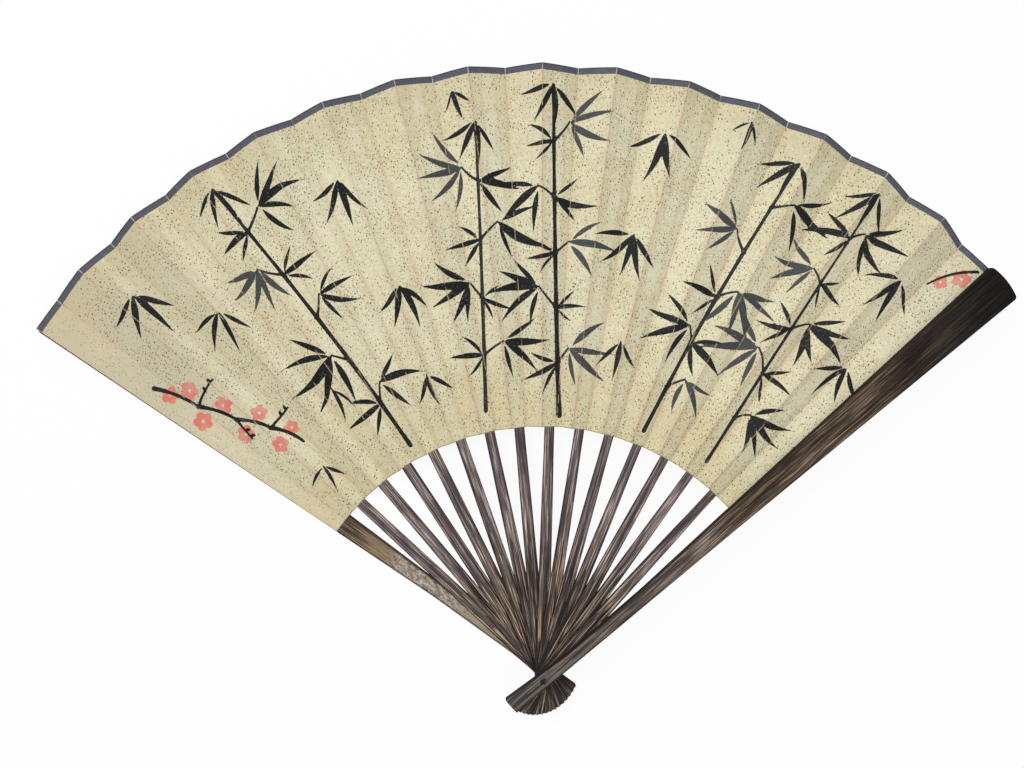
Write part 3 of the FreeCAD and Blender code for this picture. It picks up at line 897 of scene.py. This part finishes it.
for angle, radius, direction, size, count in (
        (138.5, 272, -60, 27, 4), (132.5, 238, -78, 26, 4), (127, 176, -72, 22, 3),
        (112, 262, -88, 26, 4), (109.5, 205, -84, 25, 4), (110.5, 160, -66, 20, 3),
        (74.5, 272, -104, 26, 4), (75.5, 222, -112, 26, 5), (74, 170, -104, 21, 3),
        (42.5, 262, -140, 26, 4), (39.5, 214, -132, 24, 4), (97.5, 288, -70, 15, 3),
        (66.0, 288, -120, 16, 3), (138, 150, -62, 16, 3)):
    leaf_group(polar(angle, radius), direction, size, count, 1.0)
print(len(stroke_line), "strokes")

# %% blossom
PETALS, PETAL_OUT, PETAL_SIZE = 5, 0.62, 0.46
petal_spot, petal_half = [], []


def blossom(centre, size, turned):
    """Round petals on a circle. Each petal is one dab of the brush."""
    for number in range(PETALS):
        petal_spot.append(centre + polar(turned + 360 / PETALS * number, PETAL_OUT * size))
        petal_half.append(PETAL_SIZE * size)


spray = [polar(*place) for place in
         ((145.2, 236), (143.7, 214), (141.7, 196), (139.2, 181), (137.2, 165))]
for a, b in zip(spray[:-1], spray[1:]):
    stroke(a, (a + b) / 2 + (1.5, 2.0), b, [1.25, 0.85, 0.95, 0.7], 0.95)
for root, heading, length in zip(spray[1:4], (62, -50, 52), (16, 12, 14)):
    tip = twig(root, heading, length, 0.95)
    for step in (0.55, 0.85):
        bud = root * (1 - step) + tip * step
        stroke(bud, bud + polar(heading + 60, 1.6), bud + polar(heading + 60, 2.6),
               [0.4, 0.9, 0.4], 1.0)
for angle, radius, size in ((144.7, 228, 4.2), (142.7, 222, 4.4), (144.9, 208, 4.6),
                            (141.3, 205, 4.2), (142.5, 188, 4.4), (138.7, 190, 3.8),
                            (140.2, 172, 4.0), (136.9, 174, 3.6), (37.6, 284, 4.4),
                            (38.8, 276, 3.4)):
    blossom(polar(angle, radius), size, brush.uniform(0, 72))
stroke(polar(37.0, 292), polar(38.8, 284), polar(39.6, 271), [0.8, 0.65, 0.5], 0.95)
print(len(petal_spot), "petals")

# %% distance to the strokes
stroke_line, stroke_half = np.array(stroke_line), np.array(stroke_half)
stroke_tone = np.array(stroke_tone)
petal_spot, petal_half = np.array(petal_spot), np.array(petal_half)
FAR, WIDEST = -6.0, 2.0


def inside_strokes(flat):
    """For points on the flat leaf: how deep each one is in the nearest stroke, and that
    stroke's tone. Depth is half width minus distance, measured to each short straight part
    of a stroke, and the greatest depth counts. Points further out than FAR are all as far."""
    points = flat.reshape(-1, 2)
    depth = np.full(len(points), FAR)
    tone = np.ones(len(points))
    low, high = points.min(0) + FAR, points.max(0) - FAR
    near = ((stroke_line.max(1) > low) & (stroke_line.min(1) < high)).all(1)
    reach = WIDEST - FAR
    for line, half, shade in zip(stroke_line[near], stroke_half[near], stroke_tone[near]):
        close = ((points > line.min(0) - reach) & (points < line.max(0) + reach)).all(1)
        if not close.any():
            continue
        part = points[close][:, None]
        a, b = line[:-1], line[1:]
        step = b - a
        t = np.clip(((part - a) * step).sum(-1) / (step ** 2).sum(-1), 0, 1)
        gap = np.linalg.norm(part - (a + t[..., None] * step), axis=-1)
        deep = (half[:-1] + t * (half[1:] - half[:-1]) - gap).max(1)
        now = depth[close]
        tone[close] = np.where(deep > now, shade, tone[close])
        depth[close] = np.maximum(now, deep)
    return depth.reshape(flat.shape[:2]), tone.reshape(flat.shape[:2])


def inside_petals(flat):
    """How deep each point is in the nearest petal: radius minus distance to its middle."""
    gap = np.linalg.norm(flat[:, :, None] - petal_spot, axis=-1)
    return np.maximum((petal_half - gap).max(-1), FAR)


print("strokes cover points from", stroke_line.min((0, 1)).round(0), "to",
      stroke_line.max((0, 1)).round(0))

# %% [markdown]
# ## Flecked paper
#
# The leaf is cream paper with short dark fibres beaten into it. It has yellowed unevenly,
# most along its top edge and foot, has gone brown along the sharp creases and is rubbed pale
# where ink crosses them. Everything is read from the flat chart of the leaf, so that flecks
# keep their size and run on from panel to panel. The paper is quite matt.

# %% paper finish
paper, tree, shader = new_finish("flecked_fan_paper")
sheet = chart_of_piece(tree)


def speckle(scale, detail=3.0, rough=0.55):
    """Noise over the flat chart."""
    return noise(sheet, scale, detail, rough)


def vectors(kind, *given):
    """One step on vectors."""
    return put(tree, "ShaderNodeVectorMath", dict(enumerate(given)), operation=kind)


def flecks(scale, size, share, stretch, turned):
    """Scattered short flecks: one per cell of a cell pattern whose cells are stretched, of
    random size, and left out of most cells."""
    warp = put(tree, "ShaderNodeTexNoise", {"Vector": sheet, "Scale": scale * 2.2,
                                            "Detail": 2.0}).outputs["Color"]
    shifted = vectors("SUBTRACT", warp, (0.5, 0.5, 0.5)).outputs[0]
    warped = vectors("MULTIPLY_ADD", shifted, (0.35 / scale,) * 3, sheet).outputs[0]
    turned_to = put(tree, "ShaderNodeMapping", {
        "Vector": warped, "Rotation": (0, 0, turned),
        "Scale": (scale, scale * stretch, 1.0)}).outputs[0]
    cells = put(tree, "ShaderNodeTexVoronoi", {"Vector": turned_to, "Scale": 1.0},
                voronoi_dimensions="2D").outputs
    luck = put(tree, "ShaderNodeSeparateColor", {0: cells["Color"]}).outputs
    radius = times(ramp(luck[1], 0.0, 1.0, 0.45, 1.0), size)
    hit = ramp(minus(cells["Distance"], radius), -0.05, 0.05, 1.0, 0.0)
    crowd = ramp(speckle(45.0, 2.0), 0.32, 0.68, 0.45 * share, 1.6 * share)
    return times(hit, maths("LESS_THAN", luck[0], crowd))


blotch, mottle, tooth = speckle(16.0), speckle(75.0, 4.0, 0.6), speckle(1500.0, 3.0, 0.7)
foxed = speckle(38.0, 4.0, 0.6)
reach = vectors("LENGTH", sheet).outputs["Value"]
bearing = maths("DIVIDE", put(tree, "ShaderNodeSeparateXYZ", {0: sheet}).outputs["X"], reach)
# Towards the left end of the leaf, and more further out, the paper is painted darker and
# browner: a painted shade for the light that falls off to the left.
left_side_painted_shade = times(ramp(bearing, -0.80, -0.58, 0.92, 0.0), ramp(reach, 0.14, 0.26, 0.25, 1.0))
near_top = times(ramp(reach, 0.262, 0.297), ramp(foxed, 0.3, 0.7, 0.35, 1.0))
near_foot = times(ramp(reach, 0.124, 0.19, 1.0, 0.0), ramp(foxed, 0.3, 0.75, 0.2, 0.8))
cream = layers(
    (0.62, 0.555, 0.35),
    (ramp(blotch, 0.36, 0.64), (0.71, 0.672, 0.475)),
    (ramp(speckle(9.0, 2.0), 0.44, 0.64, 0.0, 0.7), (0.595, 0.588, 0.43)),
    (ramp(mottle, 0.40, 0.68, 0.0, 0.55), (0.76, 0.715, 0.515)),
    (ramp(tooth, 0.3, 0.7, 0.0, 0.62), (0.49, 0.44, 0.28)),
    (ramp(speckle(620.0, 2.0), 0.42, 0.66, 0.0, 0.34), (0.84, 0.80, 0.60)),
    (left_side_painted_shade, (0.51, 0.462, 0.318)),
    (times(near_top, 0.66), (0.52, 0.44, 0.255)),
    (times(near_foot, 0.85), (0.56, 0.47, 0.225)))
print("paper base ready")

# %% creases, sleeves, flecks and foot of the paper
crease_at, rib_at, plain = stored(tree, "crease"), stored(tree, "rib_at"), stored(tree, "plain")
on_ridge = stored(tree, "ridge")
smudge = speckle(240.0)
to_crease = plus(crease_at, times(smudge, 0.9))
soil = times(ramp(to_crease, 0.3, 3.6, 0.55, 0.0), ramp(foxed, 0.3, 0.7, 0.25, 1.0))
# Over a rib's blade the paper is painted lighter, a painted highlight on the raised sleeve, and
# just beside the blade it is painted darker, a painted shade at the sleeve's step.
over_rib_painted_highlight = times(ramp(rib_at, 1.4, 3.4, 0.30, 0.0), ramp(mottle, 0.3, 0.7, 0.4, 1.0))
beside_rib_painted_shade = times(ramp(rib_at, 3.0, 3.5), ramp(rib_at, 3.6, 5.2, 1.0, 0.0))
on_plain = ramp(plain, 0.2, 0.9)
aged = times(on_plain, ramp(speckle(55.0, 4.0, 0.6), 0.50, 0.72, 0.0, 0.36))
clear = ramp(plain, 0.2, 0.9, 1.0, 0.48)
fleck_colour = colour_mix(ramp(smudge, 0.35, 0.65), (0.030, 0.024, 0.014), (0.15, 0.105, 0.05))
ridge_line = times(ramp(crease_at, 0.08, 0.40, 1.0, 0.0), ramp(smudge, 0.35, 0.6, 0.10, 0.50))
valley_line = times(ramp(crease_at, 0.05, 0.30, 0.4, 0.0), minus(1.0, on_ridge))
cream = layers(
    cream,
    (soil, (0.555, 0.425, 0.285)),
    (ramp(foxed, 0.54, 0.74, 0.0, 0.38), (0.60, 0.49, 0.32)),
    (over_rib_painted_highlight, (0.78, 0.735, 0.56)),
    (times(beside_rib_painted_shade, 0.18), (0.50, 0.41, 0.26)),
    (aged, (0.66, 0.52, 0.36)),
    (times(flecks(1000.0, 0.25, 0.60, 1.0, 1.3), times(clear, 0.60)), (0.23, 0.17, 0.09)),
    (times(flecks(560.0, 0.14, 0.42, 0.40, 2.1), times(clear, 0.7)), (0.20, 0.15, 0.085)),
    (times(flecks(680.0, 0.21, 0.50, 0.8, 0.4), times(clear, 0.92)), fleck_colour),
    (times(ridge_line, on_ridge), (0.36, 0.24, 0.17)),
    (valley_line, (0.42, 0.32, 0.20)),
    (ramp(reach, 0.1241, 0.1246, 0.75, 0.0), (0.20, 0.13, 0.12)))
print("paper wear ready")

# %% ink on the paper
bristle, pool = speckle(900.0, 3.0, 0.6), speckle(120.0)
ragged = minus(bristle, 0.5)
ink_mask = ramp(plus(stored(tree, "ink"), times(ragged, 0.40)), -0.08, 0.10)
dry = ramp(plus(bristle, times(pool, 0.35)), 0.72, 0.92, 1.0, 0.82)
rubbed_off = times(ramp(crease_at, 0.10, 0.34, 1.0, 0.0), ramp(smudge, 0.40, 0.55))
ink_share = times(times(ink_mask, dry), minus(1.0, times(rubbed_off, 0.65)))
ink_colour = colour_mix(ramp(stored(tree, "tone"), 0.5, 1.0), (0.060, 0.061, 0.065),
                        (0.0065, 0.0070, 0.0080))
petal_edge = plus(stored(tree, "petal"), times(ragged, 0.8))
petal_mask = times(ramp(petal_edge, -0.1, 0.25), ramp(pool, 0.3, 0.7, 0.62, 0.92))
painted = layers(cream, (petal_mask, (0.64, 0.135, 0.115)), (ink_share, ink_colour))
felt = plus(times(tooth, 0.25), speckle(55.0, 2.0))
fill(shader, {"Base Color": painted, "Roughness": ramp(ink_share, 0.0, 1.0, 0.88, 0.62),
              "Specular IOR Level": 0.18, "Normal": bump(felt, 0.25, 0.0006)})
print("paper finish has", len(tree.nodes), "nodes")

# %% [markdown]
# ## Slate binding
#
# A narrow strip of slate blue paper is folded over the top edge and pasted to both sides. A
# painted shadow darkens its very top edge; it is rubbed lighter in patches and cracked white at
# each crease.

# %% binding finish
binding, tree, shader = new_finish("slate_binding_paper")
sheet = chart_of_piece(tree)
weave, scuff = speckle(1300.0, 3.0, 0.7), speckle(190.0, 4.0, 0.6)
reach = vectors("LENGTH", sheet).outputs["Value"]
# A painted shadow darkens the very top edge of the binding.
top_edge_painted_shadow = ramp(plus(reach, times(scuff, 0.0004)), 0.2964, 0.2971, 0.0, 0.85)
cracked = times(ramp(stored(tree, "crease"), 0.12, 0.28, 1.0, 0.0),
                ramp(scuff, 0.38, 0.55, 0.12, 0.75))
slate = layers(
    (0.055, 0.057, 0.075),
    (ramp(weave, 0.3, 0.7), (0.105, 0.108, 0.135)),
    (ramp(scuff, 0.52, 0.78, 0.0, 0.5), (0.16, 0.16, 0.165)),
    (top_edge_painted_shadow, (0.016, 0.018, 0.014)),
    (ramp(reach, 0.2938, 0.2943, 0.6, 0.0), (0.15, 0.115, 0.10)),
    (cracked, (0.62, 0.60, 0.54)))
fill(shader, {"Base Color": slate, "Roughness": 0.72, "Specular IOR Level": 0.25,
              "Normal": bump(weave, 0.3, 0.0002)})
print("binding finish ready")

# %% [markdown]
# ## Pleating the leaf
#
# Each panel is its own piece. The wide panels and both end panels each ride on a body of their
# own, and the panels between them are fixed in place. A
# rib's panel is two papers with the rib between them, so it is thicker along its middle.
# The binding of a panel is part of the panel's piece, in the second finish.

# %% panels
NO_RIB = 9.0
FOOT_CHORD, FOOT_LIFT, LIFT_GROWTH = 2.35, 0.024, 0.0183
BINDING_STEPS = np.array([BINDING, 2.2, 1.2, 0.4, 0.08, 0.0])
BINDING_PROUD = BINDING_LIFT * np.array([0.8, 1.0, 1.0, 1.0, 0.5, -3.0])


def on_rib(panel):
    """Whether a panel is one of those that a rib carries."""
    return panel % 2 == 0 and 0 < panel < PANELS - 1


def panel_name(panel):
    """The node a panel dresses."""
    if panel in (0, PANELS - 1):
        return "rear_end_panel" if panel == 0 else "front_end_panel"
    return f"fold_panel_{panel // 2 + 1:02d}" if panel % 2 else f"rib_panel_{panel // 2:02d}"


def sleeve_lift(panel, off_middle, radii):
    """Half thickness of the leaf: half the paper, and more over a rib, in a soft step that
    ends a little below the top edge, where the rib ends. Near the foot the pleats are narrow
    and lie close when the fan is shut, so the rib's blade is thinner there."""
    if not on_rib(panel):
        return PAPER / 2 + 0 * off_middle
    rise = 1 - ease((np.abs(off_middle) - SLEEVE_HALF + SLEEVE_STEP / 2) / SLEEVE_STEP)
    rise = rise * (1 - ease((radii - SLEEVE_END) / SLEEVE_FADE))
    half_chord = radii * np.sin(np.radians(HALF_SECTOR))
    return PAPER / 2 + rise * np.minimum(SLEEVE_LIFT,
                                         FOOT_LIFT + LIFT_GROWTH * (half_chord - FOOT_CHORD))


def ridge_share(panel, shares):
    """1 at creases that stand up and 0 at those that lie low, for the nearer crease. A rib's
    panel has its ridge on its left, and a fold on its right."""
    if panel in (0, PANELS - 1):
        return np.zeros((len(shares), 1))
    return np.where((shares[:, None] < 0.5) == on_rib(panel), 1.0, 0.0)


def join(pieces, name):
    """One object from several, with all their finishes."""
    with bpy.context.temp_override(active_object=pieces[0], object=pieces[0],
                                   selected_objects=pieces, selected_editable_objects=pieces):
        bpy.ops.object.join()
    pieces[0].name = pieces[0].data.name = name
    return pieces[0]


def make_panel(panel):
    """One panel of the leaf with its part of the binding."""
    name = panel_name(panel)
    shares = np.linspace(0, 1, ACROSS)
    radii = np.linspace(LEAF_INNER, LEAF_OUTER - BINDING + PASTED, ALONG)
    off_middle, nearest = across_of(panel, radii, shares)
    flat = chart_of(panel, radii, shares)
    depth, tone = inside_strokes(flat)
    rib_gap = np.abs(off_middle) if on_rib(panel) else NO_RIB
    ridge = ridge_share(panel, shares)
    values = [("ink", depth, FAR), ("tone", tone, 1.0), ("petal", inside_petals(flat), FAR),
              ("crease", nearest, nearest), ("rib_at", rib_gap, rib_gap),
              ("ridge", ridge, 1 - ridge), ("plain", 1.0 if panel == 0 else 0.0, 0.0)]
    grids = panel_grids(panel, radii, shares, sleeve_lift(panel, off_middle, radii))
    leaf = slab(name + "_paper", grids, values, [flat * MM, flat * MM * (-1, 1)])
    leaf.data.materials.append(paper)

    # the binding: a strip round the edge, just outside the paper
    cut = LEAF_OUTER - BINDING_STEPS
    off_middle, nearest = across_of(panel, cut, shares)
    grids = panel_grids(panel, cut, shares, sleeve_lift(panel, off_middle, cut) + BINDING_PROUD)
    flat = chart_of(panel, cut, shares) * MM
    strip = slab(name + "_edge", grids, [("crease", nearest, nearest)], [flat, flat])
    strip.data.materials.append(binding)
    piece = join([leaf, strip], name + "_pleated")
    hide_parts(name)
    if panel % 2:
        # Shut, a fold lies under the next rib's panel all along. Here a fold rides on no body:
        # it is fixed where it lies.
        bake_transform(piece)
    else:
        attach(piece, panel_rides[panel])
    return piece


panels = [make_panel(panel) for panel in range(PANELS)]
print(len(panels), "panels of", len(panels[1].data.polygons), "faces")
